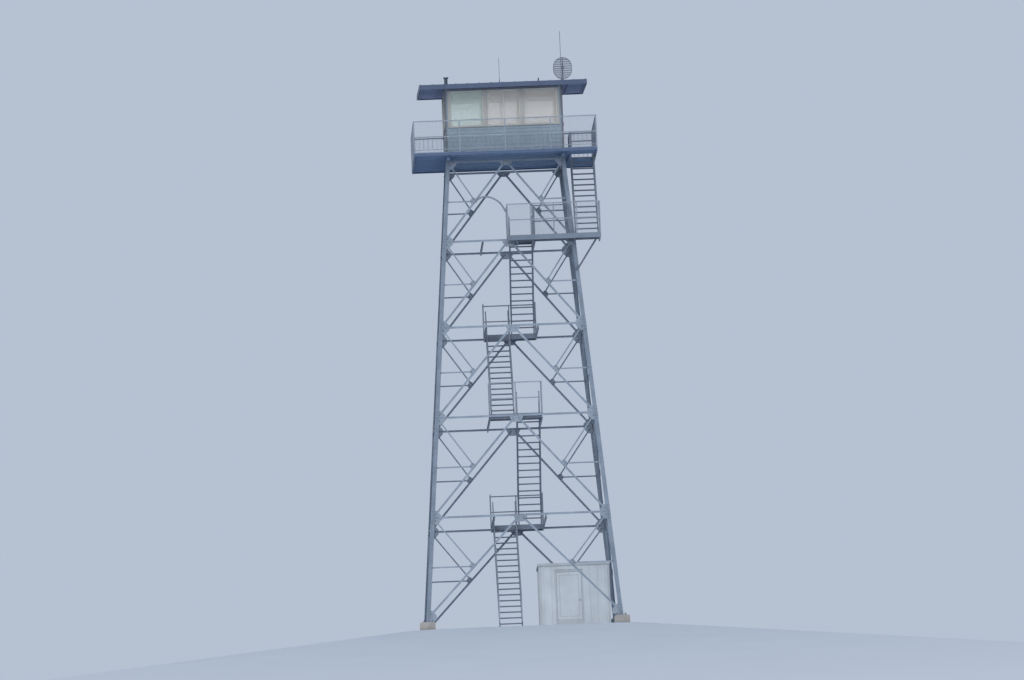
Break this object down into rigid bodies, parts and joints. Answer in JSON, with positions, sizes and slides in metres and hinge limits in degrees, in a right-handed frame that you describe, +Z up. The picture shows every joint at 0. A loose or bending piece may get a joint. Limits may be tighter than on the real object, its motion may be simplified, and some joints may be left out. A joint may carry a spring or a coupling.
{
  "type": "fire lookout tower",
  "caption": "Tall steel lattice tower with inner zigzag stairs, a railed catwalk, a glazed cab under a shallow mono-pitch roof, and a small equipment shed at its base.",
  "frame": {"origin": "on the ground under the middle of the tower's footprint", "axes": "+Z up, -Y is the front seen in the picture, +X to its right"},
  "size_m": [7.61, 7.61, 21.8926],
  "materials": {
    "galvanised_leg": "weathered galvanised",
    "galvanised_bar": "weathered galvanised",
    "stair_steel": "galvanised, open tread",
    "rail_steel": "galvanised",
    "deck_wood": "weathered dark boards",
    "floor_wood": "varnished boards",
    "siding": "painted, matt",
    "trim": "satin white",
    "glass": "clear",
    "roofing": "dark, matt",
    "antenna": "dull",
    "concrete": "cast concrete",
    "shed_panel": "off-white paint",
    "hardware": "satin"
  },
  "bodies": {
    "tower": {"footings": "concrete", "leg_front_left": "galvanised_leg", "leg_front_right": "galvanised_leg", "leg_back_left": "galvanised_leg", "leg_back_right": "galvanised_leg", "bracing_front": "galvanised_bar", "bracing_right": "galvanised_bar", "bracing_back": "galvanised_bar", "bracing_left": "galvanised_bar", "gusset_plates": "galvanised_bar", "level_beams": "galvanised_leg", "stair_flight_1": "stair_steel", "stair_flight_2": "stair_steel", "stair_flight_3": "stair_steel", "stair_flight_4": "stair_steel", "stair_flight_5": "stair_steel", "stair_treads": "stair_steel", "landing_1": "stair_steel", "landing_2": "stair_steel", "landing_3": "stair_steel", "landing_4": "stair_steel", "landing_floors": "stair_steel", "stair_handrails": "rail_steel", "landing_rails": "rail_steel", "hatch_rails": "rail_steel", "deck_beams": "galvanised_leg", "deck_joists": "galvanised_leg", "catwalk_boards": "deck_wood", "cab_floor": "floor_wood", "railing_front": "rail_steel", "railing_right": "rail_steel", "railing_back": "rail_steel", "railing_left": "rail_steel", "wall_front": "siding", "wall_right": "siding", "wall_back": "siding", "wall_left": "siding", "cab_door": "trim", "window_frames": "trim", "window_glass": "glass", "roof_panel": "roofing", "roof_fascia": "roofing", "whip_antennas": "antenna", "dish_antenna": "antenna", "roof_vents": "roofing", "shed_floor": "concrete", "shed_walls": "shed_panel", "shed_roof": "shed_panel", "shed_hinges": "hardware"},
    "shed_door": {"shed_door": "shed_panel", "shed_door_handle": "hardware"}
  },
  "joints": [
    {"name": "shed_door_hinge", "type": "hinge", "parent": "tower", "child": "shed_door", "pos_m": [1.2425, -1.9083, 1.1], "axis": [0, 0, -1], "range_deg": [0, 110]}
  ]
}
